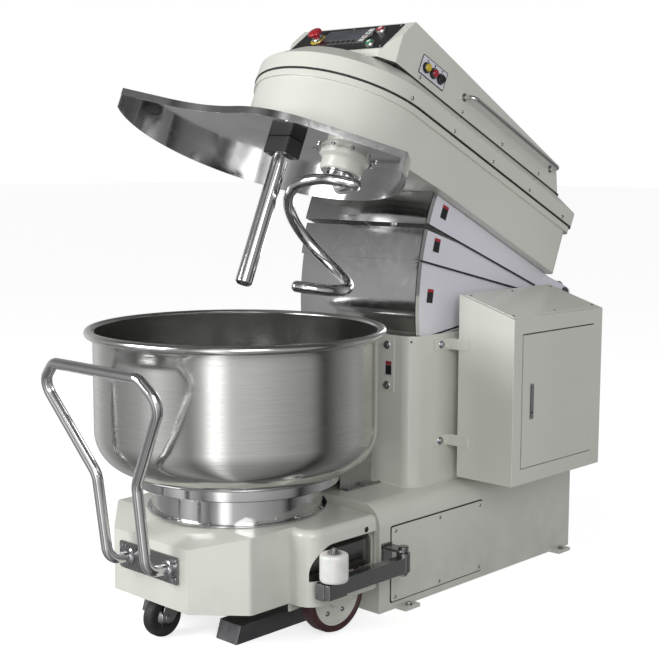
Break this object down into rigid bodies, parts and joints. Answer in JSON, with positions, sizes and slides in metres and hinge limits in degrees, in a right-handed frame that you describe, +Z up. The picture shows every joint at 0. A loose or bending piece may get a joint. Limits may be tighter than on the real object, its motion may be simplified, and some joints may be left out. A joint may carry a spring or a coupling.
{
  "type": "spiral dough mixer",
  "caption": "Commercial spiral dough mixer with a tilting head, telescoping guards, a spiral and breaker bar, and a stainless bowl on a removable trolley.",
  "frame": {"origin": "middle of the footprint on the floor, below the centre of the overall box", "axes": "+Z up, -Y towards the baker at the bowl and push handle, +Y towards the column, +X towards the side with the electrical cabinet"},
  "size_m": [1.001, 1.922, 1.7927],
  "materials": {
    "cream_paint": "satin powder coat",
    "white_sheet": "satin",
    "stainless": "brushed and polished",
    "chrome": "polished",
    "dark_steel": "satin black",
    "cast_iron": "painted grey",
    "black_plastic": "matte",
    "black_rubber": "matte",
    "tyre_rubber": "satin",
    "nylon": "matte",
    "display_dark": "gloss",
    "red_plastic": "gloss",
    "green_plastic": "gloss",
    "yellow_plastic": "gloss"
  },
  "bodies": {
    "base": {"base_shell": "cream_paint", "access_panel_right": "cream_paint", "access_panel_left": "cream_paint", "dock_rail_right": "dark_steel", "dock_rail_left": "dark_steel", "column_shell": "cream_paint", "pivot_bearing_right": "cast_iron", "pivot_bearing_left": "cast_iron", "drive_guard": "stainless", "drive_gearbox": "cast_iron", "hydraulic_unit": "cast_iron", "cabinet_box": "cream_paint", "control_gear": "black_plastic"},
    "head": {"head_body": "cream_paint", "head_seal": "black_rubber", "head_bonnet": "cream_paint", "head_cover": "cream_paint", "pivot_shaft": "dark_steel", "grab_rail_right": "chrome", "grab_rail_left": "chrome", "control_panel": "black_plastic", "display_unit": "display_dark", "side_button_plate": "white_sheet", "bowl_lid": "stainless", "bar_clamp": "black_plastic", "breaker_bar": "chrome", "spiral_housing": "cream_paint", "spiral_motor": "cast_iron", "drive_belt": "black_rubber", "guard_upper": "white_sheet"},
    "spiral": {"spiral_hook": "chrome", "spiral_pulley": "cast_iron"},
    "motor_shaft": {"motor_pulley": "cast_iron"},
    "emergency_stop_cap": {"emergency_stop": "red_plastic"},
    "start_cap": {"start_button": "green_plastic"},
    "stop_cap": {"stop_button": "red_plastic"},
    "head_up_cap": {"head_up_button": "yellow_plastic"},
    "side_stop_cap": {"side_stop_button": "red_plastic"},
    "head_down_cap": {"head_down_button": "black_plastic"},
    "middle_guard": {"guard_middle": "white_sheet"},
    "lower_guard": {"guard_lower": "white_sheet"},
    "lift_cylinder": {"lift_barrel": "cast_iron"},
    "lift_piston": {"lift_rod": "chrome"},
    "trolley": {"trolley_chassis": "cream_paint", "push_handle": "chrome", "bowl_stand": "stainless", "bowl_spindle": "dark_steel"},
    "bowl_unit": {"bowl": "stainless", "bowl_drive_ring": "stainless"},
    "bowl_drive": {"drive_wheel": "black_rubber"},
    "wheel_right": {"trolley_wheel_right": "tyre_rubber"},
    "wheel_left": {"trolley_wheel_left": "tyre_rubber"},
    "caster_swivel": {"caster_fork": "dark_steel"},
    "caster_roller": {"caster_wheel": "black_rubber"},
    "arm_right": {"dock_arm_right": "stainless"},
    "arm_left": {"dock_arm_left": "stainless"},
    "roller_right": {"dock_roller_right": "nylon"},
    "roller_left": {"dock_roller_left": "nylon"},
    "door": {"cabinet_door": "cream_paint"},
    "latch": {"cabinet_latch": "chrome"}
  },
  "joints": [
    {"name": "head_tilt", "type": "hinge", "parent": "base", "child": "head", "pos_m": [-0.0315, 0.92098, 0.905], "axis": [1, 0, 0], "range_deg": [0, 22.6]},
    {"name": "middle_guard_fold", "type": "hinge", "parent": "base", "child": "middle_guard", "pos_m": [-0.0315, 0.92098, 0.905], "axis": [1, 0, 0], "range_deg": [0, 14.47]},
    {"name": "lower_guard_fold", "type": "hinge", "parent": "base", "child": "lower_guard", "pos_m": [-0.0315, 0.92098, 0.905], "axis": [1, 0, 0], "range_deg": [0, 9.05]},
    {"name": "lift_cylinder_tilt", "type": "hinge", "parent": "base", "child": "lift_cylinder", "pos_m": [-0.0315, 0.27598, 0.392], "axis": [1, 0, 0], "range_deg": [0, 5.71]},
    {"name": "lift_piston_travel", "type": "slide", "parent": "lift_cylinder", "child": "lift_piston", "axis": [0, 0.0242, 0.9997], "range_m": [-0.2608, 0]},
    {"name": "spiral_turn", "type": "hinge", "parent": "head", "child": "spiral", "pos_m": [0.1135, -0.10957, 1.38272], "axis": [0, 0.3843, 0.9232], "continuous": true},
    {"name": "motor_turn", "type": "hinge", "parent": "head", "child": "motor_shaft", "pos_m": [-0.0115, 0.31431, 1.2821], "axis": [0, 0.3843, 0.9232], "continuous": true},
    {"name": "emergency_stop_press", "type": "slide", "parent": "head", "child": "emergency_stop_cap", "axis": [0, 0.5763, -0.8172], "range_m": [0, 0.005], "stiffness_N_per_m": 700, "springref_m": -0.001},
    {"name": "start_press", "type": "slide", "parent": "head", "child": "start_cap", "axis": [0, 0.5763, -0.8172], "range_m": [0, 0.003], "stiffness_N_per_m": 700, "springref_m": -0.001},
    {"name": "stop_press", "type": "slide", "parent": "head", "child": "stop_cap", "axis": [0, 0.5763, -0.8172], "range_m": [0, 0.003], "stiffness_N_per_m": 700, "springref_m": -0.001},
    {"name": "head_up_press", "type": "slide", "parent": "head", "child": "head_up_cap", "axis": [-1, 0, 0], "range_m": [0, 0.003], "stiffness_N_per_m": 700, "springref_m": -0.001},
    {"name": "side_stop_press", "type": "slide", "parent": "head", "child": "side_stop_cap", "axis": [-1, 0, 0], "range_m": [0, 0.003], "stiffness_N_per_m": 700, "springref_m": -0.001},
    {"name": "head_down_press", "type": "slide", "parent": "head", "child": "head_down_cap", "axis": [-1, 0, 0], "range_m": [0, 0.003], "stiffness_N_per_m": 700, "springref_m": -0.001},
    {"name": "trolley_roll", "type": "slide", "parent": "base", "child": "trolley", "axis": [0, -1, 0], "range_m": [0, 1.1]},
    {"name": "wheel_right_spin", "type": "hinge", "parent": "trolley", "child": "wheel_right", "pos_m": [0.2905, -0.34402, 0.113], "axis": [1, 0, 0], "range_deg": [0, 558]},
    {"name": "wheel_left_spin", "type": "hinge", "parent": "trolley", "child": "wheel_left", "pos_m": [-0.3535, -0.34402, 0.113], "axis": [1, 0, 0], "range_deg": [0, 558]},
    {"name": "caster_swivel", "type": "hinge", "parent": "trolley", "child": "caster_swivel", "pos_m": [-0.0315, -0.67402, 0.1], "axis": [0, 0, 1], "continuous": true},
    {"name": "caster_spin", "type": "hinge", "parent": "caster_swivel", "child": "caster_roller", "pos_m": [-0.0315, -0.72002, 0.06], "axis": [1, 0, 0], "range_deg": [0, 1052]},
    {"name": "bowl_turn", "type": "hinge", "parent": "trolley", "child": "bowl_unit", "pos_m": [-0.0315, -0.42402, 0.44], "axis": [0, 0, 1], "continuous": true},
    {"name": "drive_wheel_turn", "type": "hinge", "parent": "base", "child": "bowl_drive", "pos_m": [-0.0315, -0.04202, 0.437], "axis": [0, 0, 1], "continuous": true},
    {"name": "arm_right_swing", "type": "hinge", "parent": "base", "child": "arm_right", "pos_m": [0.3735, -0.12202, 0.17], "axis": [0, 0, 1], "range_deg": [0, 40]},
    {"name": "arm_left_swing", "type": "hinge", "parent": "base", "child": "arm_left", "pos_m": [-0.4365, -0.12202, 0.17], "axis": [0, 0, 1], "range_deg": [-40, 0]},
    {"name": "roller_right_spin", "type": "hinge", "parent": "arm_right", "child": "roller_right", "pos_m": [0.3965, -0.44902, 0.238], "axis": [0, 0, 1], "continuous": true},
    {"name": "roller_left_spin", "type": "hinge", "parent": "arm_left", "child": "roller_left", "pos_m": [-0.4595, -0.44902, 0.238], "axis": [0, 0, 1], "continuous": true},
    {"name": "cabinet_door_swing", "type": "hinge", "parent": "base", "child": "door", "pos_m": [0.5015, 0.70698, 0.62], "axis": [0, 0, 1], "range_deg": [0, 110]},
    {"name": "cabinet_latch_pull", "type": "hinge", "parent": "door", "child": "latch", "pos_m": [0.5005, 0.34798, 0.67], "axis": [0, -1, 0], "range_deg": [0, 45]}
  ],
  "couplings": [
    {"joint": "middle_guard_fold", "follows": "head_tilt", "ratio": 0.64},
    {"joint": "lower_guard_fold", "follows": "head_tilt", "ratio": 0.4},
    {"joint": "lift_cylinder_tilt", "follows": "head_tilt", "ratio": 0.2522},
    {"joint": "lift_piston_travel", "follows": "head_tilt", "m_per_rad": -0.6608},
    {"joint": "motor_turn", "follows": "spiral_turn", "ratio": 2.2826},
    {"joint": "wheel_right_spin", "follows": "trolley_roll", "rad_per_m": 8.8496},
    {"joint": "wheel_left_spin", "follows": "trolley_roll", "rad_per_m": 8.8496},
    {"joint": "caster_spin", "follows": "trolley_roll", "rad_per_m": 16.667},
    {"joint": "drive_wheel_turn", "follows": "bowl_turn", "ratio": -4.4429},
    {"joint": "arm_left_swing", "follows": "arm_right_swing", "ratio": -1}
  ]
}
